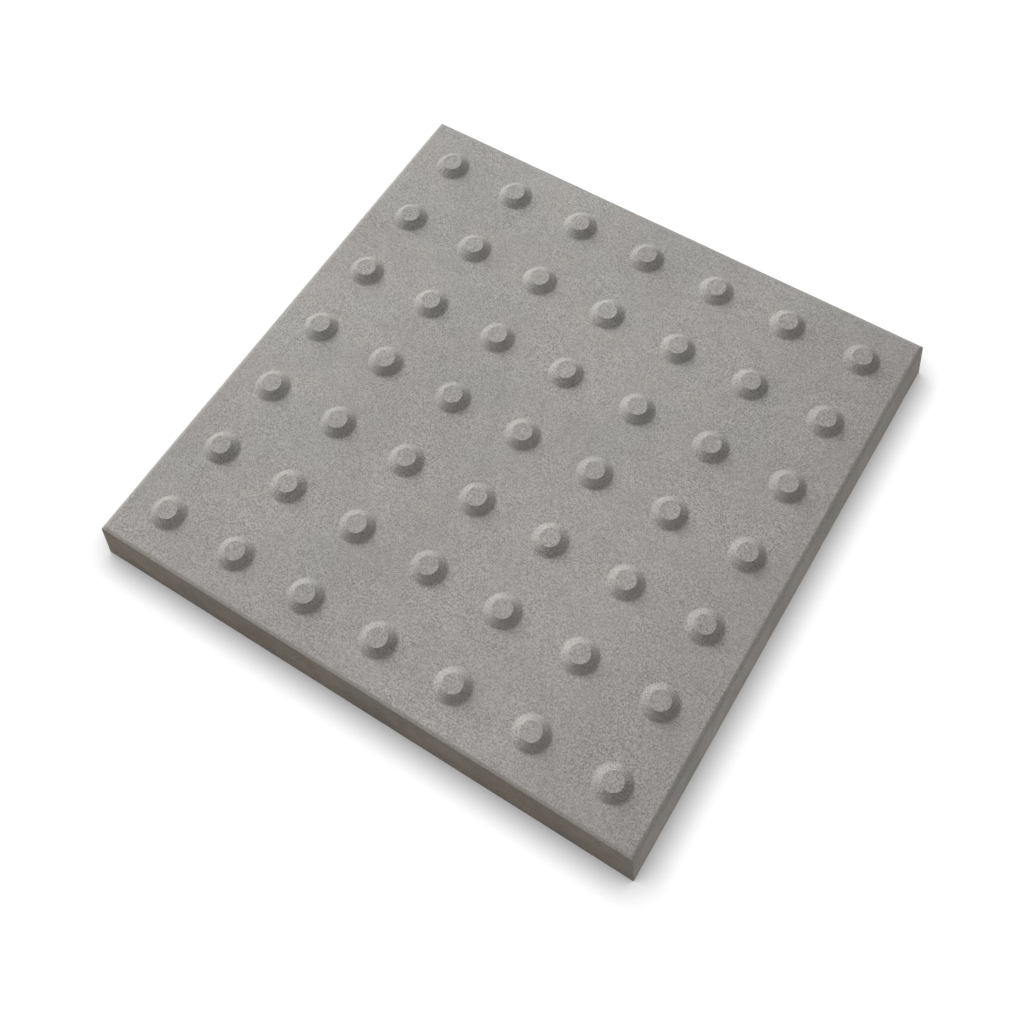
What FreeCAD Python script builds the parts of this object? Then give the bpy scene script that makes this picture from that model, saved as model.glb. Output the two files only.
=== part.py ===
"""Tactile paving slab: one concrete casting with a square grid of truncated-cone studs on its face.

The slab lies flat with its studs up. Its origin is the middle of its underside, +Z points up out of
the studded face, and X and Y run along its edges. All sizes are in millimetres.
"""

import FreeCAD, Part
import os

import Sketcher

NODE = "tactile_slab"

# Driving dimensions: alias, value and what it measures
SIZES = (
    ("slab_length", 450.0, "underside along X"),
    ("slab_width", 450.0, "underside along Y"),
    ("slab_thickness", 40.0, "underside to the face between the studs"),
    ("side_draft", 4.0, "how far each side leans in from the underside to the face, to leave its mould"),
    ("arris_size", 2.0, "bevel along the edges of the face"),
    ("stud_pitch", 62.0, "stud centre to stud centre, along X and along Y"),
    ("stud_base_diameter", 27.5, "stud where it meets the face"),
    ("stud_top_diameter", 15.0, "flat top of a stud"),
    ("stud_height", 5.5, "face to stud top"),
)

# Whole studs that fit a face with at least half a pitch left at each edge
STUDS_LENGTHWISE = "floor((sizes.slab_length - 2 * sizes.side_draft) / sizes.stud_pitch)"
STUDS_WIDTHWISE = "floor((sizes.slab_width - 2 * sizes.side_draft) / sizes.stud_pitch)"
GRID_LENGTH = f"({STUDS_LENGTHWISE} - 1) * sizes.stud_pitch"
GRID_WIDTH = f"({STUDS_WIDTHWISE} - 1) * sizes.stud_pitch"

ORIGIN_POINT = (-1, 1)  # a sketch's own origin, as geometry index and point
START, END = 1, 2  # the two ends of a sketched line


def make_sheet(doc):
    """Fills the sheet of driving dimensions, one row each: name, value, meaning."""
    sheet = doc.addObject("Spreadsheet::Sheet", "sizes")
    for row, (alias, value, meaning) in enumerate(SIZES, start=1):
        sheet.set(f"A{row}", alias)
        sheet.set(f"B{row}", str(value))
        sheet.set(f"C{row}", meaning)
        sheet.setAlias(f"B{row}", alias)
    doc.recompute()
    return sheet


def origin_feature(body, role):
    """Returns the plane or axis of the body's origin that has this role."""
    return next(item for item in body.Origin.OriginFeatures if item.Role == role)


def new_sketch(body, name, role):
    """Adds a sketch that lies on one of the body's origin planes."""
    sketch = body.newObject("Sketcher::SketchObject", name)
    sketch.AttachmentSupport = (origin_feature(body, role), [""])
    sketch.MapMode = "FlatFace"
    return sketch


def add_loop(sketch, corners):
    """Draws a closed loop of lines through the corners and joins their ends."""
    points = [FreeCAD.Vector(x, y, 0) for x, y in corners]
    count = len(points)
    for i in range(count):
        sketch.addGeometry(Part.LineSegment(points[i], points[(i + 1) % count]), False)
    for i in range(count):
        sketch.addConstraint(Sketcher.Constraint("Coincident", i, END, (i + 1) % count, START))


def bind(sketch, name, constraint, expression):
    """Adds a named dimension to the sketch and ties it to an expression."""
    sketch.renameConstraint(sketch.addConstraint(constraint), name)
    sketch.setExpression(f"Constraints.{name}", expression)


def add_slab(doc, body, sheet):
    """Makes the block: a rectangle on the ground, raised to the thickness of the slab."""
    half_length, half_width = sheet.slab_length / 2, sheet.slab_width / 2
    outline = new_sketch(body, "underside_outline", "XY_Plane")
    add_loop(outline, [(-half_length, -half_width), (half_length, -half_width),
                       (half_length, half_width), (-half_length, half_width)])
    front, right, back, left = range(4)
    for line in (front, back):
        outline.addConstraint(Sketcher.Constraint("Horizontal", line))
    for line in (right, left):
        outline.addConstraint(Sketcher.Constraint("Vertical", line))
    outline.addConstraint(Sketcher.Constraint("Symmetric", front, START, back, START, *ORIGIN_POINT))
    bind(outline, "length", Sketcher.Constraint("DistanceX", front, START, front, END, 2 * half_length),
         "sizes.slab_length")
    bind(outline, "width", Sketcher.Constraint("DistanceY", right, START, right, END, 2 * half_width),
         "sizes.slab_width")

    block = body.newObject("PartDesign::Pad", "block")
    block.Profile = outline
    block.setExpression("Length", "sizes.slab_thickness")
    doc.recompute()
    return block


def add_draft(doc, body, block):
    """Leans the four sides in towards the face, about the edges of the underside."""
    sides = [f"Face{i}" for i, face in enumerate(block.Shape.Faces, start=1)
             if abs(face.normalAt(0, 0).z) < 0.5]
    draft = body.newObject("PartDesign::Draft", "mould_draft")
    draft.Base = (block, sides)
    draft.NeutralPlane = (origin_feature(body, "XY_Plane"), [""])
    draft.setExpression("Angle", "atan(sizes.side_draft / sizes.slab_thickness)")
    doc.recompute()
    return draft


def add_arris(doc, body, drafted):
    """Bevels the edges round the face."""
    face_height = drafted.Shape.BoundBox.ZMax
    rim = [f"Edge{i}" for i, edge in enumerate(drafted.Shape.Edges, start=1)
           if all(abs(vertex.Z - face_height) < 1e-6 for vertex in edge.Vertexes)]
    arris = body.newObject("PartDesign::Chamfer", "arris")
    arris.Base = (drafted, rim)
    arris.setExpression("Size", "sizes.arris_size")
    doc.recompute()
    return arris


def add_stud(doc, body, sheet):
    """Turns one stud about its own upright axis, at the front left place of the grid."""
    base_radius, top_radius = sheet.stud_base_diameter / 2, sheet.stud_top_diameter / 2
    height = sheet.stud_height
    profile = new_sketch(body, "stud_profile", "XZ_Plane")
    profile.setExpression("AttachmentOffset.Base.x", f"-({GRID_LENGTH}) / 2")
    profile.setExpression("AttachmentOffset.Base.y", "sizes.slab_thickness")
    profile.setExpression("AttachmentOffset.Base.z", f"({GRID_WIDTH}) / 2")
    add_loop(profile, [(0, 0), (base_radius, 0), (top_radius, height), (0, height)])
    foot, top, axis = 0, 2, 3
    for line in (foot, top):
        profile.addConstraint(Sketcher.Constraint("Horizontal", line))
    profile.addConstraint(Sketcher.Constraint("Vertical", axis))
    profile.addConstraint(Sketcher.Constraint("Coincident", foot, START, *ORIGIN_POINT))
    bind(profile, "base_radius", Sketcher.Constraint("DistanceX", foot, START, foot, END, base_radius),
         "sizes.stud_base_diameter / 2")
    bind(profile, "top_radius", Sketcher.Constraint("DistanceX", top, END, top, START, top_radius),
         "sizes.stud_top_diameter / 2")
    bind(profile, "height", Sketcher.Constraint("DistanceY", axis, END, axis, START, height),
         "sizes.stud_height")

    stud = body.newObject("PartDesign::Revolution", "stud")
    stud.Profile = profile
    stud.ReferenceAxis = (profile, ["V_Axis"])
    stud.Angle = 360.0
    doc.recompute()
    return stud


def add_row(body, name, role, length, count):
    """Makes one direction of the stud grid: so many copies over a length, along an origin axis."""
    row = body.newObject("PartDesign::LinearPattern", name)
    row.Direction = (origin_feature(body, role), [""])
    row.setExpression("Length", length)
    row.setExpression("Occurrences", count)
    return row


def add_grid(doc, body, stud):
    """Repeats the stud along X and then the whole row along Y."""
    grid = body.newObject("PartDesign::MultiTransform", "stud_grid")
    grid.Originals = [stud]
    lengthwise = add_row(body, "studs_lengthwise", "X_Axis", GRID_LENGTH, STUDS_LENGTHWISE)
    widthwise = add_row(body, "studs_widthwise", "Y_Axis", GRID_WIDTH, STUDS_WIDTHWISE)
    grid.Transformations = [lengthwise, widthwise]
    body.Tip = grid
    doc.recompute()
    return grid


def check(doc, body):
    """Stops the build if any feature failed or the slab isn't one sound solid."""
    failed = [item.Name for item in doc.Objects if {"Invalid", "Error"} & set(item.State)]
    if failed:
        raise RuntimeError(f"features failed: {', '.join(failed)}")
    shape = body.Shape
    if shape.isNull() or not shape.isValid() or len(shape.Solids) != 1:
        raise RuntimeError(f"{body.Label} isn't one valid solid")


def main():
    """Builds the slab, checks it and writes its solid."""
    doc = FreeCAD.newDocument("tactile_paving_slab")
    sheet = make_sheet(doc)
    body = doc.addObject("PartDesign::Body", NODE)
    body.Label = NODE
    block = add_slab(doc, body, sheet)
    drafted = add_draft(doc, body, block)
    add_arris(doc, body, drafted)
    stud = add_stud(doc, body, sheet)
    add_grid(doc, body, stud)
    check(doc, body)

    os.makedirs("parts", exist_ok=True)
    body.Shape.exportStep(f"parts/{body.Label}.step")
    box = body.Shape.BoundBox
    print(f"{body.Label}: {box.XLength:.2f} x {box.YLength:.2f} x {box.ZLength:.2f} mm, "
          f"{body.Shape.Volume / 1e6:.3f} litres, {len(body.Shape.Faces)} faces")


main()
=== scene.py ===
"""Looks of the tactile paving slab: one concrete casting with seven rows of seven studs on its face.

The slab lies flat on a pale studio floor with its studs up, in the frame of the CAD model: metres, the origin
in the middle of the underside, X and Y along the edges and +Z up out of the studded face.
"""

import logging
import math
from dataclasses import dataclass, field
from enum import Enum
from typing import Sequence, Union

import bmesh
import bpy
from bmesh.types import BMesh, BMEdge, BMVert
from bpy.types import Material, Node, NodeSocket, NodeTree, Object, ShaderNodeTree
from mathutils import Matrix, Vector, noise


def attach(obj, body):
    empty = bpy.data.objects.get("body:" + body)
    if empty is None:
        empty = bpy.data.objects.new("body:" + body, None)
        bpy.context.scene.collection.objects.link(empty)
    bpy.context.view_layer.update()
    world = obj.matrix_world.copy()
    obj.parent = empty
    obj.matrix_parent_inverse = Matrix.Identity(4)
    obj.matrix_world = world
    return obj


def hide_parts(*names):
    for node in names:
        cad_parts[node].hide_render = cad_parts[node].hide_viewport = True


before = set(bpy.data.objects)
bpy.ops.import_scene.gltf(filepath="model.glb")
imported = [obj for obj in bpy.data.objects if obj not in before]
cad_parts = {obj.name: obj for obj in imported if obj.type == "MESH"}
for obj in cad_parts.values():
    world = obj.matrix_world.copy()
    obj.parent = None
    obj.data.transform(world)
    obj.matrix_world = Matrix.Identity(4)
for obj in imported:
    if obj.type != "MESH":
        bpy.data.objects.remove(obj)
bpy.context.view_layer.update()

MM = 0.001
NEAR = 0.01 * MM
SAME_PLACE = 0.001 * MM
NODE = "tactile_slab"
BODY = "root"
IMAGE_SIDE = 1024
SENSOR = 36.0
WHITE = (1.0, 1.0, 1.0)
LOG = logging.getLogger("tactile_slab")

Colour = tuple[float, float, float]
Triple = tuple[float, float, float]
Span = tuple[float, float]
Feed = Union[NodeSocket, float, Sequence[float]]


class Zone(Enum):
    """The three surfaces of the casting, in the order of its material slots."""

    FACE = 0
    SIDE = 1
    BED = 2


class Graph:
    """Adds nodes to one node tree and joins them."""

    def __init__(self, tree: NodeTree) -> None:
        """Starts on an emptied tree."""
        self.tree = tree
        tree.nodes.clear()

    def node(self, kind: str, **settings: object) -> Node:
        """Adds a node.

        Args:
            kind: the node's Blender type.
            settings: properties of the node and their values.

        Returns:
            The new node.
        """
        made = self.tree.nodes.new(kind)
        for name, value in settings.items():
            setattr(made, name, value)
        return made

    def feed(self, socket: NodeSocket, value: Feed) -> None:
        """Links another socket into this one, or sets a plain value on it.

        Args:
            socket: the input to feed.
            value: another node's output, or a number, vector or colour.
        """
        if isinstance(value, NodeSocket):
            self.tree.links.new(value, socket)
        elif socket.type == "RGBA" and len(value) == 3:
            socket.default_value = (*value, 1.0)
        else:
            socket.default_value = value

    def math(self, operation: str, *values: Feed) -> NodeSocket:
        """Works out one sum.

        Args:
            operation: the sum's Blender name.
            values: the one to three values that go into it.

        Returns:
            The result.
        """
        made = self.node("ShaderNodeMath", operation=operation)
        for socket, value in zip(made.inputs, values):
            self.feed(socket, value)
        return made.outputs[0]

    def noise(self, vector: Feed, scale: Feed, detail: float, roughness: float = 0.5) -> NodeSocket:
        """Adds a noise pattern.

        Args:
            vector: where the pattern is read.
            scale: waves per metre.
            detail: how many finer layers lie on the first.
            roughness: how strong each finer layer is.

        Returns:
            The pattern's value, about 0.5 on average.
        """
        made = self.node("ShaderNodeTexNoise")
        self.feed(made.inputs["Vector"], vector)
        self.feed(made.inputs["Scale"], scale)
        self.feed(made.inputs["Detail"], detail)
        self.feed(made.inputs["Roughness"], roughness)
        return made.outputs["Fac"]

    def cells(self, vector: Feed, scale: Feed) -> tuple[NodeSocket, NodeSocket]:
        """Adds a pattern of scattered points.

        Args:
            vector: where the pattern is read.
            scale: points per metre along each axis.

        Returns:
            The distance to the nearest point, in cells, and a random number of that point.
        """
        made = self.node("ShaderNodeTexVoronoi", feature="F1")
        self.feed(made.inputs["Vector"], vector)
        self.feed(made.inputs["Scale"], scale)
        split = self.node("ShaderNodeSeparateColor")
        self.feed(split.inputs[0], made.outputs["Color"])
        return made.outputs["Distance"], split.outputs[0]

    def spread(self, value: Feed, low: Feed, high: Feed,
               to_low: Feed = 0.0, to_high: Feed = 1.0) -> NodeSocket:
        """Eases a value from one range to another, held at its ends.

        Args:
            value: the value to ease.
            low: where its range starts.
            high: where its range ends.
            to_low: the result at the start.
            to_high: the result at the end.

        Returns:
            The eased value.
        """
        made = self.node("ShaderNodeMapRange", interpolation_type="SMOOTHSTEP")
        for name, given in (("Value", value), ("From Min", low), ("From Max", high),
                            ("To Min", to_low), ("To Max", to_high)):
            self.feed(made.inputs[name], given)
        return made.outputs[0]

    def blend(self, share: Feed, first: Feed, second: Feed) -> NodeSocket:
        """Mixes two colours.

        Args:
            share: how much of the second colour there is, from 0 to 1.
            first: the colour at 0.
            second: the colour at 1.

        Returns:
            The mixed colour.
        """
        made = self.node("ShaderNodeMix", data_type="RGBA", clamp_factor=True)
        colours = [socket for socket in made.inputs if socket.type == "RGBA"]
        self.feed(made.inputs[0], share)
        self.feed(colours[0], first)
        self.feed(colours[1], second)
        return next(socket for socket in made.outputs if socket.type == "RGBA")

    def tinted(self, colour: Feed, tint: Feed) -> NodeSocket:
        """Multiplies a colour by a tint.

        Args:
            colour: the colour to tint.
            tint: what each of its three parts is multiplied by.

        Returns:
            The tinted colour.
        """
        made = self.node("ShaderNodeVectorMath", operation="MULTIPLY")
        self.feed(made.inputs[0], colour)
        self.feed(made.inputs[1], tint)
        return made.outputs["Vector"]

    def scaled(self, colour: Feed, factor: Feed) -> NodeSocket:
        """Brightens or darkens a colour.

        Args:
            colour: the colour to change.
            factor: what the whole colour is multiplied by.

        Returns:
            The changed colour.
        """
        made = self.node("ShaderNodeVectorMath", operation="SCALE")
        self.feed(made.inputs["Vector"], colour)
        self.feed(made.inputs["Scale"], factor)
        return made.outputs["Vector"]

    def group(self, tree: ShaderNodeTree, **values: Feed) -> Node:
        """Places a node group.

        Args:
            tree: the group's tree.
            values: a value or link for each named input.

        Returns:
            The group's node.
        """
        made = self.node("ShaderNodeGroup", node_tree=tree)
        for name, value in values.items():
            self.feed(made.inputs[name.replace("_", " ")], value)
        return made


class Effect:
    """A shader node group with named inputs and outputs, built once and shared by the finishes."""

    def __init__(self, name: str, inputs: dict[str, str], outputs: dict[str, str]) -> None:
        """Makes the group's tree and sockets.

        Args:
            name: the group's name.
            inputs: socket kind of each named input.
            outputs: socket kind of each named output.
        """
        self.tree = bpy.data.node_groups.new(name, "ShaderNodeTree")
        self.graph = Graph(self.tree)
        for in_out, sockets in (("INPUT", inputs), ("OUTPUT", outputs)):
            for label, kind in sockets.items():
                self.tree.interface.new_socket(label, in_out=in_out, socket_type=f"NodeSocket{kind}")
        self.given = self.graph.node("NodeGroupInput").outputs
        self.result = self.graph.node("NodeGroupOutput").inputs

    def put(self, **values: Feed) -> ShaderNodeTree:
        """Links the results to the group's outputs.

        Args:
            values: the result for each named output.

        Returns:
            The finished tree.
        """
        for name, value in values.items():
            self.graph.feed(self.result[name.replace("_", " ")], value)
        return self.tree


@dataclass(frozen=True)
class Mottle:
    """Cloudy colour: wide clouds and smaller blotches between two tones, under a tint that comes and goes.

    The other rates are multiples of the clouds' own, so the whole pattern grows with the clouds.
    """

    cloud_detail: float = 2.0
    cloud_roughness: float = 0.45
    cloud_share: float = 0.6
    blotch_rate: float = 4.7
    blotch_detail: float = 3.0
    blotch_roughness: float = 0.6
    blotch_share: float = 0.4
    drift_rate: float = 1.7
    drift_detail: float = 2.0
    drift_roughness: float = 0.4
    tone_span: Span = (0.34, 0.66)
    tint_span: Span = (0.2, 0.6)

    def build(self) -> ShaderNodeTree:
        """Builds the group.

        Returns:
            A tree that puts out the mottled colour, and the clouds behind it.
        """
        effect = Effect("concrete_mottle",
                        {"Vector": "Vector", "Size": "Float", "Lean": "Vector",
                         "Dark": "Color", "Pale": "Color", "Warm": "Color"},
                        {"Color": "Color", "Cloud": "Float"})
        g, given = effect.graph, effect.given
        place = given["Vector"]
        rate = g.math("DIVIDE", 1.0, given["Size"])
        cloud = g.noise(place, rate, self.cloud_detail, self.cloud_roughness)
        blotch_rate = g.math("MULTIPLY", rate, self.blotch_rate)
        blotch = g.noise(place, blotch_rate, self.blotch_detail, self.blotch_roughness)
        both = g.math("MULTIPLY_ADD", blotch, self.blotch_share, g.math("MULTIPLY", cloud, self.cloud_share))

        drift_rate = g.math("MULTIPLY", rate, self.drift_rate)
        drift = g.noise(place, drift_rate, self.drift_detail, self.drift_roughness)
        slope = g.node("ShaderNodeVectorMath", operation="DOT_PRODUCT")
        g.feed(slope.inputs[0], place)
        g.feed(slope.inputs[1], given["Lean"])
        drift = g.math("ADD", drift, slope.outputs["Value"])

        tone = g.blend(g.spread(both, *self.tone_span), given["Dark"], given["Pale"])
        tint = g.blend(g.spread(drift, *self.tint_span), WHITE, given["Warm"])
        return effect.put(Color=g.tinted(tone, tint), Cloud=both)


@dataclass(frozen=True)
class Grain:
    """Sand in the cement: a fine tone and height, and scattered dark and pale specks.

    The other rates are multiples of the fine grain's own, so the whole pattern grows with it.
    """

    detail: float = 2.0
    roughness: float = 0.6
    coarse_rate: float = 0.31
    coarse_roughness: float = 0.5
    sand_rate: float = 3.4
    fine_height: float = 0.5
    coarse_height: float = 0.5
    sand_height: float = 0.22
    tone_span: Span = (0.25, 0.75)
    fine_tone: float = 1.0
    sand_tone: float = 0.8
    patch_rate: float = 0.03
    patch_span: Span = (0.35, 0.65)
    patch_gain: Span = (0.82, 1.18)
    speck_rate: float = 0.62
    speck_edge: Span = (0.42, 0.2)
    dark_above: float = 0.9
    pale_below: float = 0.08

    def build(self) -> ShaderNodeTree:
        """Builds the group.

        Returns:
            A tree that puts out the grain's tone about 0, its height, and the two kinds of specks.
        """
        effect = Effect("concrete_grain", {"Vector": "Vector", "Size": "Float"},
                        {"Tone": "Float", "Height": "Float", "Dark Specks": "Float", "Pale Specks": "Float"})
        g, given = effect.graph, effect.given
        place = given["Vector"]
        rate = g.math("DIVIDE", 1.0, given["Size"])
        fine = g.noise(place, rate, self.detail, self.roughness)
        coarse_rate = g.math("MULTIPLY", rate, self.coarse_rate)
        coarse = g.noise(place, coarse_rate, self.detail, self.coarse_roughness)
        sand = g.noise(place, g.math("MULTIPLY", rate, self.sand_rate), self.detail, self.roughness)
        height = g.math("MULTIPLY", fine, self.fine_height)
        height = g.math("MULTIPLY_ADD", coarse, self.coarse_height, height)
        height = g.math("MULTIPLY_ADD", sand, self.sand_height, height)

        patches = g.noise(place, g.math("MULTIPLY", rate, self.patch_rate), self.detail)
        gain = g.spread(patches, *self.patch_span, *self.patch_gain)
        tone = g.math("ADD", g.spread(fine, *self.tone_span, -self.fine_tone, self.fine_tone),
                      g.spread(sand, *self.tone_span, -self.sand_tone, self.sand_tone))
        tone = g.math("MULTIPLY", tone, gain)

        distance, lot = g.cells(place, g.math("MULTIPLY", rate, self.speck_rate))
        near = g.spread(distance, *self.speck_edge)
        dark = g.math("MULTIPLY", near, g.math("GREATER_THAN", lot, self.dark_above))
        pale = g.math("MULTIPLY", near, g.math("LESS_THAN", lot, self.pale_below))
        return effect.put(Tone=tone, Height=height, Dark_Specks=dark, Pale_Specks=pale)


@dataclass(frozen=True)
class Pinholes:
    """Pinholes left by air against the mould: round, of mixed size, in a share of the cells of a scatter."""

    smallest: float = 0.3
    more_at_most: float = 0.7
    flat_share: float = 0.4

    def build(self) -> ShaderNodeTree:
        """Builds the group.

        Returns:
            A tree that puts out 1 at the bottom of a hole and 0 outside.
        """
        effect = Effect("concrete_pinholes",
                        {"Vector": "Vector", "Spacing": "Float", "Share": "Float", "Radius": "Float"},
                        {"Hole": "Float"})
        g, given = effect.graph, effect.given
        distance, lot = g.cells(given["Vector"], g.math("DIVIDE", 1.0, given["Spacing"]))
        distance = g.math("MULTIPLY", distance, given["Spacing"])
        size = g.math("SUBTRACT", 1.0, g.math("DIVIDE", lot, given["Share"]))
        size = g.math("MULTIPLY_ADD", size, self.more_at_most, self.smallest)
        radius = g.math("MULTIPLY", given["Radius"], size)
        hole = g.spread(distance, radius, g.math("MULTIPLY", radius, self.flat_share))
        hole = g.math("MULTIPLY", hole, g.math("LESS_THAN", lot, given["Share"]))
        return effect.put(Hole=hole)


@dataclass(frozen=True)
class StudRings:
    """Rings round the axis of the nearest stud: its worn rim, and the foot where dust settles."""

    rim_width: Span = (0.6 * MM, 0.05 * MM)
    rim_breaks: Span = (0.35, 0.65)
    foot_width: Span = (2.2 * MM, 0.2 * MM)
    foot_breaks: Span = (0.3, 0.7)
    foot_least: float = 0.4
    break_rate: float = 260.0
    break_detail: float = 3.0
    break_roughness: float = 0.6

    def build(self) -> ShaderNodeTree:
        """Builds the group.

        Returns:
            A tree that puts out the wear on the rim and the dust at the foot, both broken up.
        """
        effect = Effect("stud_rings", {"Vector": "Vector", "Pitch": "Float", "Rim": "Float", "Foot": "Float"},
                        {"Wear": "Float", "Dust": "Float"})
        g, given = effect.graph, effect.given
        half = g.math("MULTIPLY", given["Pitch"], 0.5)
        split = g.node("ShaderNodeSeparateXYZ")
        g.feed(split.inputs[0], given["Vector"])
        along = [g.math("PINGPONG", split.outputs[axis], half) for axis in range(2)]
        squares = [g.math("POWER", distance, 2.0) for distance in along]
        radius = g.math("SQRT", g.math("ADD", *squares))
        from_rim = g.math("ABSOLUTE", g.math("SUBTRACT", radius, given["Rim"]))
        from_foot = g.math("ABSOLUTE", g.math("SUBTRACT", radius, given["Foot"]))
        broken = g.noise(given["Vector"], self.break_rate, self.break_detail, self.break_roughness)
        wear = g.math("MULTIPLY", g.spread(from_rim, *self.rim_width), g.spread(broken, *self.rim_breaks))
        dust = g.math("MULTIPLY", g.spread(from_foot, *self.foot_width),
                      g.spread(broken, *self.foot_breaks, self.foot_least, 1.0))
        return effect.put(Wear=wear, Dust=dust)


@dataclass(frozen=True)
class Scuffs:
    """Scuffs from handling: short fine scratches in two directions, gathered in a few patches."""

    turns: Span = (0.15, -0.55)
    starts: Span = (0.0, 37 * MM)
    length: float = 11 * MM
    width: float = 1.1 * MM
    detail: float = 1.0
    line_span: Span = (0.64, 0.74)
    patch_rate: float = 15.0
    patch_span: Span = (0.54, 0.66)

    def build(self) -> ShaderNodeTree:
        """Builds the group.

        Returns:
            A tree that puts out 1 in a scratch and 0 outside.
        """
        effect = Effect("concrete_scuffs", {"Vector": "Vector"}, {"Scuff": "Float"})
        g, given = effect.graph, effect.given
        lines = []
        for turn, start in zip(self.turns, self.starts):
            placed = g.node("ShaderNodeMapping", vector_type="TEXTURE")
            g.feed(placed.inputs["Vector"], given["Vector"])
            g.feed(placed.inputs["Location"], (start, start, 0.0))
            g.feed(placed.inputs["Rotation"], (0.0, 0.0, turn))
            g.feed(placed.inputs["Scale"], (self.length, self.width, self.length))
            lines.append(g.spread(g.noise(placed.outputs[0], 1.0, self.detail), *self.line_span))
        patch = g.spread(g.noise(given["Vector"], self.patch_rate, self.detail), *self.patch_span)
        return effect.put(Scuff=g.math("MULTIPLY", g.math("MAXIMUM", *lines), patch))


@dataclass(frozen=True)
class ConcreteEffects:
    """The node groups that the concrete finishes share."""

    mottle: ShaderNodeTree
    grain: ShaderNodeTree
    pinholes: ShaderNodeTree
    stud_rings: ShaderNodeTree
    scuffs: ShaderNodeTree

    @classmethod
    def build(cls) -> "ConcreteEffects":
        """Builds each group once and returns them."""
        return cls(Mottle().build(), Grain().build(), Pinholes().build(),
                   StudRings().build(), Scuffs().build())


@dataclass(frozen=True)
class ConcreteFinish:
    """One concrete surface: its tones, its sand, its pinholes and its wear.

    The warm colour is a tint that multiplies the tones, and lean makes it grow along a direction. The lip is
    a band of another tone high on the sides. Towards +X the surface is made darker, by a plain darker tone.
    """

    name: str
    dark: Colour
    pale: Colour
    warm: Colour
    cloud_size: float
    grain_size: float
    grain_tone: float
    grain_height: float
    hole_spacing: float
    hole_share: float
    hole_radius: float
    hole_depth: float
    # How dark the pinholes are made: partly dirt, partly painted shade
    hole_dirt_and_shade: float = 0.7
    speck_dark: Colour = (0.15, 0.14, 0.125)
    speck_pale: Colour = (0.52, 0.50, 0.47)
    speck_share: float = 0.45
    wear: float = 0.0
    dust: float = 0.0
    scuff: float = 0.0
    scuff_depth: float = 0.06 * MM
    lean: Triple = (0.0, 0.0, 0.0)
    lip_tone: Union[Colour, None] = None
    lip_span: Span = (38.1 * MM, 38.9 * MM)
    x_darkening: float = 0.0
    x_darkening_span: Span = (95 * MM, 235 * MM)
    specular: float = 0.3
    rough_span: Span = (0.3, 0.7)
    rough_high: float = 0.96
    rough_low: float = 0.84

    def build(self, effects: ConcreteEffects, cell: "StudCell") -> Material:
        """Makes the material.

        Args:
            effects: the shared node groups.
            cell: the stud whose rim and foot the wear follows.

        Returns:
            A material on Object coordinates.
        """
        made = bpy.data.materials.new(self.name)
        made.use_nodes = True
        g = Graph(made.node_tree)
        place = g.node("ShaderNodeTexCoord").outputs["Object"]
        mottle = g.group(effects.mottle, Vector=place, Size=self.cloud_size, Lean=self.lean,
                         Dark=self.dark, Pale=self.pale, Warm=self.warm).outputs
        grain = g.group(effects.grain, Vector=place, Size=self.grain_size).outputs
        hole = g.group(effects.pinholes, Vector=place, Spacing=self.hole_spacing, Share=self.hole_share,
                       Radius=self.hole_radius).outputs["Hole"]

        colour = self._shade(g, place, mottle["Color"])
        colour = g.scaled(colour, g.math("MULTIPLY_ADD", grain["Tone"], self.grain_tone, 1.0))
        colour = self._stain(g, colour, grain["Dark Specks"], self.speck_share, self.speck_dark)
        colour = self._stain(g, colour, grain["Pale Specks"], self.speck_share, self.speck_pale)
        if self.wear or self.dust:
            rings = g.group(effects.stud_rings, Vector=place, Pitch=cell.pitch,
                            Rim=cell.top_radius, Foot=cell.base_radius).outputs
            colour = self._stain(g, colour, rings["Wear"], self.wear, self.speck_pale)
            colour = self._stain(g, colour, rings["Dust"], self.dust, self.speck_dark)
        # Darkens the pinholes: partly dirt, partly painted shade that stands in for the shade inside them
        colour = self._stain(g, colour, hole, self.hole_dirt_and_shade, self.speck_dark)

        height = g.math("MULTIPLY", grain["Height"], self.grain_height)
        height = g.math("SUBTRACT", height, g.math("MULTIPLY", hole, self.hole_depth))
        if self.scuff:
            scuff = g.group(effects.scuffs, Vector=place).outputs["Scuff"]
            colour = self._stain(g, colour, scuff, self.scuff, self.speck_dark)
            height = g.math("SUBTRACT", height, g.math("MULTIPLY", scuff, self.scuff_depth))
        bump = g.node("ShaderNodeBump")
        bump.inputs["Distance"].default_value = 1.0
        g.feed(bump.inputs["Height"], height)

        shader = g.node("ShaderNodeBsdfPrincipled")
        shader.inputs["Specular IOR Level"].default_value = self.specular
        g.feed(shader.inputs["Base Color"], colour)
        roughness = g.spread(mottle["Cloud"], *self.rough_span, self.rough_high, self.rough_low)
        g.feed(shader.inputs["Roughness"], roughness)
        g.feed(shader.inputs["Normal"], bump.outputs["Normal"])
        g.feed(g.node("ShaderNodeOutputMaterial").inputs["Surface"], shader.outputs["BSDF"])
        return made

    def _shade(self, g: Graph, place: NodeSocket, colour: NodeSocket) -> NodeSocket:
        """Adds what follows the slab's own axes: the lip high on the sides and the darker tone towards +X.

        Args:
            g: the material's graph.
            place: the Object coordinates.
            colour: the colour so far.

        Returns:
            The shaded colour.
        """
        split = g.node("ShaderNodeSeparateXYZ")
        g.feed(split.inputs[0], place)
        if self.lip_tone is not None:
            colour = g.blend(g.spread(split.outputs["Z"], *self.lip_span), colour, self.lip_tone)
        # Makes the colour darker towards +X
        if self.x_darkening:
            colour = g.scaled(colour, g.spread(split.outputs["X"], *self.x_darkening_span, 1.0, 1.0 - self.x_darkening))
        return colour

    @staticmethod
    def _stain(g: Graph, colour: NodeSocket, mask: NodeSocket, share: float, stain: Colour) -> NodeSocket:
        """Lays a stain over the colour by a share of a mask and returns the stained colour."""
        return g.blend(g.math("MULTIPLY", mask, share), colour, stain)


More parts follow.
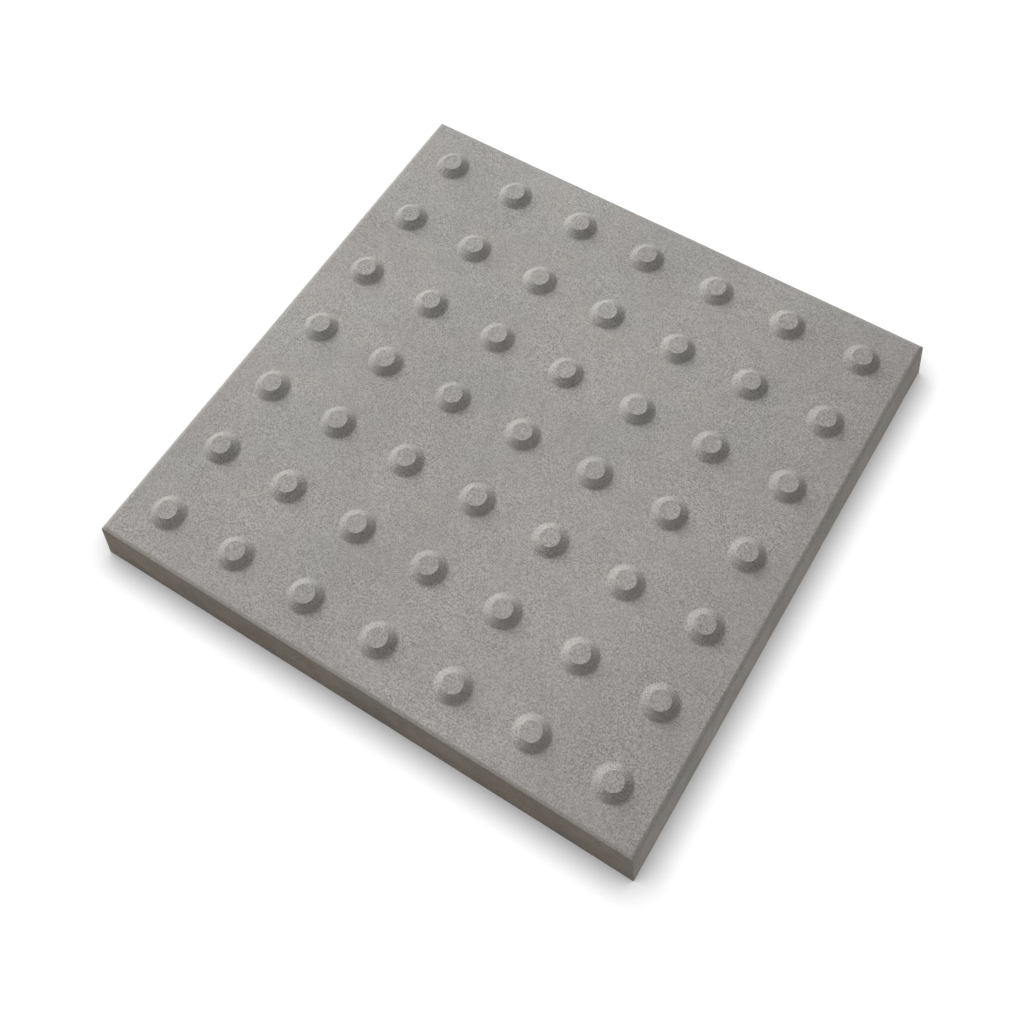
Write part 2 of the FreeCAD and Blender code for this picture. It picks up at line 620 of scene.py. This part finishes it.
@dataclass(frozen=True)
class StudCell:
    """One turned stud and the square of face round it, which the slab repeats in rows."""

    pitch: float = 62 * MM
    base_radius: float = 13.75 * MM
    top_radius: float = 7.5 * MM
    height: float = 5.5 * MM
    rim_round: float = 0.10 * MM
    foot_round: float = 0.85 * MM
    round_segments: int = 3
    apron: float = 3.2 * MM
    hold: float = 0.9 * MM
    rim_hold: float = 0.25 * MM
    top_rings: int = 2
    flank_rings: int = 3
    steps: int = 56
    squares: int = 22
    apron_cuts: int = 2

    def build(self) -> BMesh:
        """Models the cell about the origin, with the face at height 0.

        Returns:
            The cell's mesh, open at its four sides and below.
        """
        mesh = bmesh.new()
        self._turn_stud(mesh)
        self._round_edges(mesh)
        self._add_face(mesh)
        return mesh

    def _turn_stud(self, mesh: BMesh) -> None:
        """Turns the stud's profile about its axis: flat top, flank and a flat ring round the foot.

        Args:
            mesh: the mesh in the making.
        """
        flat = self.top_radius - self.rim_hold
        top = [(flat * i / self.top_rings, self.height) for i in range(self.top_rings + 1)]
        run = self.base_radius - self.top_radius
        first, last = self.rim_hold / run, 1 - self.hold / run
        between = [first + (last - first) * i / self.flank_rings for i in range(self.flank_rings + 1)]
        flank = [(self.top_radius + run * t, self.height * (1 - t)) for t in (0.0, *between, 1.0)]
        apron = [(self.base_radius + self.hold, 0.0), (self.base_radius + self.apron, 0.0)]
        verts = [mesh.verts.new((radius, 0.0, height)) for radius, height in top + flank + apron]
        edges = [mesh.edges.new(pair) for pair in zip(verts, verts[1:])]
        bmesh.ops.spin(mesh, geom=verts + edges, cent=(0, 0, 0), axis=(0, 0, 1), angle=math.tau,
                       steps=self.steps, use_merge=True)
        bmesh.ops.remove_doubles(mesh, verts=mesh.verts[:], dist=SAME_PLACE)

    def _round_edges(self, mesh: BMesh) -> None:
        """Softens the rim of the flat top, and fills the corner at the foot with a small hollow.

        Args:
            mesh: the mesh in the making.
        """
        for radius, height, offset in ((self.top_radius, self.height, self.rim_round),
                                       (self.base_radius, 0.0, self.foot_round)):
            ring = [edge for edge in mesh.edges if all(self._on_ring(v, radius, height) for v in edge.verts)]
            bmesh.ops.bevel(mesh, geom=ring, offset=offset, segments=self.round_segments, profile=0.5,
                            affect="EDGES", material=-1)

    @staticmethod
    def _on_ring(vert: BMVert, radius: float, height: float) -> bool:
        """Says whether a point lies on the ring of this radius and height about the stud's axis."""
        return abs(math.hypot(vert.co.x, vert.co.y) - radius) < NEAR and abs(vert.co.z - height) < NEAR

    def _add_face(self, mesh: BMesh) -> None:
        """Lays a square grid of face round the stud and joins it to the ring at the stud's foot.

        Args:
            mesh: the mesh in the making.
        """
        ring = [edge for edge in mesh.edges if edge.is_boundary]
        square = self.pitch / self.squares
        # The square hole has as many edges as the ring has steps, an eighth of them in each half side
        reach = square * self.steps / 8
        grid = bmesh.ops.create_grid(mesh, x_segments=self.squares, y_segments=self.squares,
                                     size=self.pitch / 2)
        faces = {face for vert in grid["verts"] for face in vert.link_faces}
        middle = [face for face in faces if max(map(abs, face.calc_center_median().xy)) < reach]
        bmesh.ops.delete(mesh, geom=middle, context="FACES")
        hole = [edge for edge in mesh.edges if edge.is_boundary and edge not in ring
                and all(max(map(abs, v.co.xy)) < reach + square / 2 for v in edge.verts)]
        bridge = bmesh.ops.bridge_loops(mesh, edges=ring + hole)
        ties = [edge for edge in bridge["edges"] if not edge.is_boundary]
        bmesh.ops.subdivide_edges(mesh, edges=ties, cuts=self.apron_cuts, use_grid_fill=True)


@dataclass
class PavingSlab:
    """The whole casting: studded face, bevelled arris, leaning sides and flat bed."""

    cell: StudCell
    finishes: dict[Zone, ConcreteFinish]
    rows: int = 7
    half_length: float = 225 * MM
    half_width: float = 225 * MM
    thickness: float = 40 * MM
    draft: float = 4 * MM
    arris_run: float = 2.4 * MM
    arris_drop: float = 1.15 * MM
    edge_round: float = 0.3 * MM
    round_segments: int = 2
    least_rise: float = 0.1 * MM
    side_rings: int = 12
    bed_margin: float = 3 * MM
    bed_grid_inset: float = 9 * MM
    bed_squares: int = 77
    bed_normal: float = -0.9
    name: str = "cast_slab"
    _rings: dict[str, list[BMEdge]] = field(default_factory=dict)

    def build(self) -> Object:
        """Models the slab in one closed mesh.

        Returns:
            The slab's object, dressed in its finishes.
        """
        mesh = self.cell.build()
        self._lay_rows(mesh)
        self._add_sides(mesh)
        self._add_bed(mesh)
        self._soften_edges(mesh)
        bmesh.ops.recalc_face_normals(mesh, faces=mesh.faces[:])
        self._zone_faces(mesh)
        Relief(self).apply(mesh)
        return self._finish(mesh)

    def _lay_rows(self, mesh: BMesh) -> None:
        """Repeats the cell along X and the row along Y, raises them to the face and closes the seams.

        Args:
            mesh: the mesh of one cell.
        """
        first = -self.cell.pitch * (self.rows - 1) / 2
        bmesh.ops.translate(mesh, verts=mesh.verts[:], vec=(first, first, self.thickness))
        for step in (Vector((self.cell.pitch, 0, 0)), Vector((0, self.cell.pitch, 0))):
            geom = mesh.verts[:] + mesh.edges[:] + mesh.faces[:]
            for place in range(1, self.rows):
                copy = bmesh.ops.duplicate(mesh, geom=geom)["geom"]
                bmesh.ops.translate(mesh, verts=[v for v in copy if isinstance(v, BMVert)], vec=step * place)
        bmesh.ops.remove_doubles(mesh, verts=mesh.verts[:], dist=NEAR)

    def _grow(self, mesh: BMesh, rim: list[BMEdge], inset: float, height: float) -> list[BMEdge]:
        """Extrudes the open rim to a new outline.

        Args:
            mesh: the mesh in the making.
            rim: the edges of its open rim.
            inset: how far the new outline lies inside that of the underside.
            height: height of the new outline above the bed.

        Returns:
            The edges of the new rim.
        """
        grown = bmesh.ops.extrude_edge_only(mesh, edges=rim)["geom"]
        verts = [item for item in grown if isinstance(item, BMVert)]
        reach = Vector((max(v.co.x for v in verts), max(v.co.y for v in verts)))
        bmesh.ops.scale(mesh, verts=verts, vec=((self.half_length - inset) / reach.x,
                                                (self.half_width - inset) / reach.y, 1.0))
        bmesh.ops.translate(mesh, verts=verts, vec=(0, 0, height - verts[0].co.z))
        return [item for item in grown if isinstance(item, BMEdge) and item.is_boundary]

    def _add_sides(self, mesh: BMesh) -> None:
        """Takes the edge of the face out to the arris, and down the leaning sides to the bed.

        Args:
            mesh: the mesh in the making.
        """
        lean = self.draft / self.thickness
        rim = [edge for edge in mesh.edges if edge.is_boundary]
        rim = self._grow(mesh, rim, self.draft + self.arris_run, self.thickness)
        self._rings["lip"] = rim
        shoulder = self.thickness - self.arris_drop
        for ring in range(self.side_rings + 1):
            height = shoulder * (1 - ring / self.side_rings)
            rim = self._grow(mesh, rim, lean * height, height)
            if ring == 0:
                self._rings["shoulder"] = rim
        self._rings["foot"] = rim

    def _add_bed(self, mesh: BMesh) -> None:
        """Closes the underside with a coarser grid, turned face down and joined to the foot of the sides.

        Args:
            mesh: the mesh in the making.
        """
        rim = self._grow(mesh, self._rings["foot"], self.bed_margin, 0.0)
        old = set(mesh.edges)
        shape = Matrix.Diagonal((self.half_length - self.bed_grid_inset,
                                 self.half_width - self.bed_grid_inset, 1, 1))
        bmesh.ops.create_grid(mesh, x_segments=self.bed_squares, y_segments=self.bed_squares, size=1.0,
                              matrix=Matrix.Rotation(math.pi, 4, "X") @ shape)
        edge_of_grid = [edge for edge in mesh.edges if edge not in old and edge.is_boundary]
        bmesh.ops.subdivide_edges(mesh, edges=edge_of_grid, cuts=1)
        edge_of_grid = [edge for edge in mesh.edges if edge not in old and edge.is_boundary]
        bmesh.ops.bridge_loops(mesh, edges=rim + edge_of_grid)

    def _soften_edges(self, mesh: BMesh) -> None:
        """Rounds the edges of the arris, the foot and the four upright corners a little.

        Args:
            mesh: the mesh in the making.
        """
        corners = [edge for edge in mesh.edges if all(self._on_corner(v) for v in edge.verts)
                   and abs(edge.verts[0].co.z - edge.verts[1].co.z) > self.least_rise]
        rings = [edge for ring in self._rings.values() for edge in ring]
        bmesh.ops.bevel(mesh, geom=rings + corners, offset=self.edge_round, segments=self.round_segments,
                        profile=0.5, affect="EDGES", material=-1)

    def _on_corner(self, vert: BMVert) -> bool:
        """Tells the points of the four upright corners, which stand on the diagonals of the square.

        Args:
            vert: a point of the mesh.

        Returns:
            Whether it lies on such a corner.
        """
        across, along, height = abs(vert.co.x), abs(vert.co.y), vert.co.z
        outside = across > self.half_length - 2 * self.draft and height < self.thickness + NEAR
        return outside and abs(across - along) < NEAR

    def _zone_faces(self, mesh: BMesh) -> None:
        """Gives each face the material slot of the surface it belongs to.

        Args:
            mesh: the closed mesh.
        """
        lip = Vector((self.half_length, self.half_width)) - Vector((1, 1)) * (self.draft + self.arris_run)
        for face in mesh.faces:
            middle = face.calc_center_median()
            outside = abs(middle.x) > lip.x or abs(middle.y) > lip.y
            zone = Zone.SIDE if outside or middle.z < self.thickness / 2 else Zone.FACE
            face.material_index = (Zone.BED if face.normal.z < self.bed_normal else zone).value
            face.smooth = True

    def _finish(self, mesh: BMesh) -> Object:
        """Turns the modelled mesh into an object and dresses it.

        Args:
            mesh: the closed mesh, which is freed.

        Returns:
            The object, linked to the scene.
        """
        data = bpy.data.meshes.new(self.name)
        mesh.to_mesh(data)
        mesh.free()
        effects = ConcreteEffects.build()
        for zone in Zone:
            data.materials.append(self.finishes[zone].build(effects, self.cell))
        slab = bpy.data.objects.new(self.name, data)
        bpy.context.scene.collection.objects.link(slab)
        return slab


@dataclass
class Relief:
    """The small unevenness of the cast surfaces, always inwards, so that the slab stays inside its sizes."""

    slab: PavingSlab
    wave_depth: float = 0.16 * MM
    wave_rate: float = 17.0
    ripple_depth: float = 0.07 * MM
    ripple_rate: float = 70.0
    chip_depth: float = 0.5 * MM
    chip_rate: float = 160.0
    chip_reach: float = 2.5 * MM
    chip_level: float = 0.3
    wide_chip_share: float = 0.6
    wide_chip_rate: float = 0.3

    def apply(self, mesh: BMesh) -> None:
        """Moves each point of the mesh inwards by the waves, and by the chips where it lies on an edge.

        Args:
            mesh: the closed mesh.
        """
        mesh.normal_update()
        moves = [vert.normal * -self._depth(vert.co) for vert in mesh.verts]
        for vert, move in zip(mesh.verts, moves):
            vert.co += move

    def _depth(self, place: Vector) -> float:
        """Works out how far a point moves inwards.

        Args:
            place: the point.

        Returns:
            The depth in metres.
        """
        depth = self._level(place * self.wave_rate) * self.wave_depth
        depth += self._level(place * self.ripple_rate) * self.ripple_depth
        edge = self._edge_nearness(place)
        if edge > 0:
            chip = noise.noise(place * self.chip_rate)
            chip += self.wide_chip_share * noise.noise(place * self.chip_rate * self.wide_chip_rate)
            depth += edge * max(0.0, chip - self.chip_level) * self.chip_depth
        return depth

    @staticmethod
    def _level(place: Vector) -> float:
        """Returns the noise at a place, brought to the range from 0 to 1."""
        return 0.5 + 0.5 * noise.noise(place)

    def _edge_nearness(self, place: Vector) -> float:
        """Works out how near a point is to the arris, the foot or an upright corner.

        Args:
            place: the point.

        Returns:
            1 on such an edge, falling to 0 a short way from it.
        """
        slab = self.slab
        inset = slab.draft * min(place.z, slab.thickness) / slab.thickness
        from_x = slab.half_length - inset - abs(place.x)
        from_y = slab.half_width - inset - abs(place.y)
        from_face, from_bed = abs(slab.thickness - place.z), place.z
        near = sorted((from_x, from_y, min(from_face, from_bed)))
        return max(0.0, 1.0 - near[1] / self.chip_reach)


@dataclass(frozen=True)
class Studio:
    """The pale floor, the soft key light, the lights low down and the even light from all round."""

    floor_half: float = 4.0
    floor_opening: float = 224.3 * MM
    floor_drop: float = 0.1 * MM
    floor_shine: float = 0.985
    floor_shade: Colour = (0.06, 0.06, 0.06)
    floor_bounce: Colour = (0.505, 0.448, 0.385)
    shadow_reach: float = 24 * MM
    shadow_depth: float = 1.7
    shadow_samples: int = 8
    key_turn: float = 157.0
    key_rise: float = 33.0
    key_distance: float = 4.6
    key_size: float = 2.9
    key_power: float = 250.0
    bed_turn: float = 120.0
    bed_rise: float = -35.0
    bed_distance: float = 3.0
    bed_size: float = 1.2
    bed_power: float = 85.0
    sky: Colour = (0.370, 0.362, 0.352)
    strip_place: Triple = (262 * MM, 0.0, 15 * MM)
    strip_length: float = 470 * MM
    strip_height: float = 28 * MM
    strip_power: float = 0.030
    strip_tone: Colour = (0.88, 1.0, 1.12)

    def build(self) -> None:
        """Lays the floor, hangs the lights and sets the world."""
        self._floor()
        self._softbox("key_light", self.key_turn, self.key_rise, self.key_distance,
                      self.key_size, self.key_power)
        self._softbox("bed_light", self.bed_turn, self.bed_rise, self.bed_distance,
                      self.bed_size, self.bed_power)
        self._strip()
        self._world()

    @staticmethod
    def _seen(g: Graph) -> NodeSocket:
        """Tells what is looked at from light that falls.

        Args:
            g: the graph of the floor or the world.

        Returns:
            1 for what the camera, a reflection or a clear body looks at, and otherwise 0.
        """
        path = g.node("ShaderNodeLightPath").outputs
        either = g.math("MAXIMUM", path["Is Camera Ray"], path["Is Glossy Ray"])
        return g.math("MAXIMUM", either, path["Is Transmission Ray"])

    @staticmethod
    def _mix(g: Graph, share: NodeSocket, first: NodeSocket, second: NodeSocket) -> NodeSocket:
        """Mixes two shaders.

        Args:
            g: the graph they are in.
            share: how much of the second shader there is, from 0 to 1.
            first: the shader at 0.
            second: the shader at 1.

        Returns:
            The mixed shader.
        """
        made = g.node("ShaderNodeMixShader")
        for socket, value in zip(made.inputs, (share, first, second)):
            g.feed(socket, value)
        return made.outputs[0]

    def _floor(self) -> None:
        """Lays the floor, open under the slab so that the bed gets light from below."""
        mesh = bmesh.new()
        bmesh.ops.create_grid(mesh, x_segments=1, y_segments=1, size=self.floor_half)
        under_slab = mesh.faces[:]
        bmesh.ops.inset_individual(mesh, faces=under_slab, thickness=self.floor_half - self.floor_opening,
                                   use_even_offset=True)
        bmesh.ops.delete(mesh, geom=under_slab, context="FACES")
        bmesh.ops.translate(mesh, verts=mesh.verts[:], vec=(0, 0, -self.floor_drop))
        data = bpy.data.meshes.new("studio_floor")
        mesh.to_mesh(data)
        mesh.free()
        data.materials.append(self._floor_material())
        floor = bpy.data.objects.new("studio_floor", data)
        bpy.context.scene.collection.objects.link(floor)

    def _floor_material(self) -> Material:
        """Makes a floor that is seen as white with the slab's shadow on it, and from below not at all.

        Returns:
            The floor's material.
        """
        material = bpy.data.materials.new("studio_floor")
        material.use_nodes = True
        g = Graph(material.node_tree)
        shine, shade = g.node("ShaderNodeEmission"), g.node("ShaderNodeBsdfDiffuse")
        bounce = g.node("ShaderNodeBsdfDiffuse")
        g.feed(shine.inputs["Color"], WHITE)
        near = g.node("ShaderNodeAmbientOcclusion", samples=self.shadow_samples)
        g.feed(near.inputs["Distance"], self.shadow_reach)
        open_share = g.math("POWER", near.outputs["AO"], self.shadow_depth)
        g.feed(shine.inputs["Strength"], g.math("MULTIPLY", open_share, self.floor_shine))
        g.feed(shade.inputs["Color"], self.floor_shade)
        g.feed(bounce.inputs["Color"], self.floor_bounce)
        both = g.node("ShaderNodeAddShader")
        g.feed(both.inputs[0], shine.outputs[0])
        g.feed(both.inputs[1], shade.outputs[0])
        top = self._mix(g, self._seen(g), bounce.outputs[0], both.outputs[0])
        below = g.node("ShaderNodeNewGeometry").outputs["Backfacing"]
        surface = self._mix(g, below, top, g.node("ShaderNodeBsdfTransparent").outputs[0])
        g.feed(g.node("ShaderNodeOutputMaterial").inputs["Surface"], surface)
        return material

    @staticmethod
    def _softbox(name: str, turn: float, rise: float, distance: float, size: float, power: float) -> None:
        """Hangs a soft square light, aimed at the slab.

        Args:
            name: the light's name.
            turn: its direction from the slab in plan, in degrees from +X towards +Y.
            rise: its height above the floor as an angle, in degrees.
            distance: how far it hangs from the slab.
            size: the length of its sides.
            power: its power in watts.
        """
        turn, rise = math.radians(turn), math.radians(rise)
        towards = Vector((math.cos(turn) * math.cos(rise), math.sin(turn) * math.cos(rise), math.sin(rise)))
        data = bpy.data.lights.new(name, "AREA")
        data.energy, data.shape, data.size = power, "SQUARE", size
        lamp = bpy.data.objects.new(name, data)
        lamp.location = towards * distance
        lamp.rotation_euler = (-towards).to_track_quat("-Z", "Y").to_euler()
        lamp.visible_camera = False
        bpy.context.scene.collection.objects.link(lamp)

    def _strip(self) -> None:
        """Lays a low strip light beside the right side, so that this side isn't lost in shade."""
        data = bpy.data.lights.new("edge_strip", "AREA")
        data.energy, data.color, data.shape = self.strip_power, self.strip_tone, "RECTANGLE"
        data.size, data.size_y = self.strip_length, self.strip_height
        lamp = bpy.data.objects.new("edge_strip", data)
        lamp.location = self.strip_place
        # Its length lies along Y, its height along Z, and it shines towards -X
        lamp.rotation_euler = Matrix(((0, 0, 1), (1, 0, 0), (0, 1, 0))).to_euler()
        lamp.visible_camera = False
        bpy.context.scene.collection.objects.link(lamp)

    def _world(self) -> None:
        """Lights the slab evenly from all round, and shows the camera white."""
        world = bpy.data.worlds.new("studio")
        world.use_nodes = True
        g = Graph(world.node_tree)
        light, white = g.node("ShaderNodeBackground"), g.node("ShaderNodeBackground")
        g.feed(light.inputs["Color"], self.sky)
        g.feed(white.inputs["Color"], WHITE)
        surface = self._mix(g, self._seen(g), light.outputs[0], white.outputs[0])
        g.feed(g.node("ShaderNodeOutputWorld").inputs["Surface"], surface)
        bpy.context.scene.world = world


@dataclass(frozen=True)
class PhotoCamera:
    """The camera at the photograph's angle.

    Its lens is shifted a little, because the photograph isn't framed about the axis of its lens. Angles are
    in degrees, and the focal length is in pixels of the photograph.
    """

    turn: float = 35.622
    rise: float = 60.561
    distance: float = 992.0 * MM
    roll: float = -4.181
    target: Triple = (-5.06 * MM, 21.89 * MM, 40.0 * MM)
    focal: float = 1325.6
    shift_across: float = -0.02
    shift_up: float = -0.10
    clip_near: float = 0.01
    clip_far: float = 50.0

    def build(self) -> Object:
        """Places the camera and makes it the scene's.

        Returns:
            The camera's object.
        """
        turn, rise, roll = (math.radians(angle) for angle in (self.turn, self.rise, self.roll))
        back = Vector((math.sin(turn) * math.cos(rise), -math.cos(turn) * math.cos(rise), math.sin(rise)))
        level = Vector((0, 0, 1)).cross(back).normalized()
        upright = back.cross(level)
        right = level * math.cos(roll) + upright * math.sin(roll)
        axes = Matrix((right, back.cross(right), back)).transposed()
        data = bpy.data.cameras.new("photo_camera")
        data.sensor_width, data.lens = SENSOR, self.focal * SENSOR / IMAGE_SIDE
        data.shift_x, data.shift_y = self.shift_across, self.shift_up
        data.clip_start, data.clip_end = self.clip_near, self.clip_far
        camera = bpy.data.objects.new("photo_camera", data)
        camera.matrix_world = Matrix.Translation(Vector(self.target) + back * self.distance) @ axes.to_4x4()
        bpy.context.scene.collection.objects.link(camera)
        bpy.context.scene.camera = camera
        return camera


FACE_FINISH = ConcreteFinish(
    name="studded_face_concrete",
    dark=(0.328, 0.324, 0.310), pale=(0.364, 0.359, 0.343), warm=(1.025, 0.985, 0.995), cloud_size=85 * MM,
    grain_size=1.15 * MM, grain_tone=0.295, grain_height=0.27 * MM,
    hole_spacing=14 * MM, hole_share=0.25, hole_radius=0.55 * MM, hole_depth=0.15 * MM,
    lean=(0.5, -0.5, 0.0), wear=0.18, dust=0.10, scuff=0.35, x_darkening=0.10)
SIDE_FINISH = ConcreteFinish(
    name="mould_side_concrete",
    dark=(0.256, 0.242, 0.224), pale=(0.311, 0.295, 0.275), warm=(1.075, 1.030, 0.995), cloud_size=45 * MM,
    grain_size=1.1 * MM, grain_tone=0.16, grain_height=0.18 * MM,
    hole_spacing=7 * MM, hole_share=0.22, hole_radius=0.9 * MM, hole_depth=0.35 * MM,
    lip_tone=(0.335, 0.318, 0.296))
BED_FINISH = ConcreteFinish(
    name="bed_face_concrete",
    dark=(0.262, 0.248, 0.228), pale=(0.335, 0.318, 0.292), warm=(1.065, 1.018, 0.969), cloud_size=60 * MM,
    grain_size=1.8 * MM, grain_tone=0.26, grain_height=0.60 * MM,
    hole_spacing=6 * MM, hole_share=0.35, hole_radius=1.5 * MM, hole_depth=0.6 * MM)


def main() -> None:
    """Builds the camera, the slab and the studio, in that order."""
    logging.basicConfig(level=logging.INFO, format="%(name)s: %(message)s")
    bpy.context.scene.view_settings.view_transform = "Standard"
    PhotoCamera().build()

    finishes = {Zone.FACE: FACE_FINISH, Zone.SIDE: SIDE_FINISH, Zone.BED: BED_FINISH}
    slab = PavingSlab(StudCell(), finishes).build()
    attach(slab, BODY)
    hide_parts(NODE)
    slab.data.calc_loop_triangles()
    LOG.info("%s: %d triangles", slab.name, len(slab.data.loop_triangles))

    Studio().build()


if __name__ == "__main__":
    main()
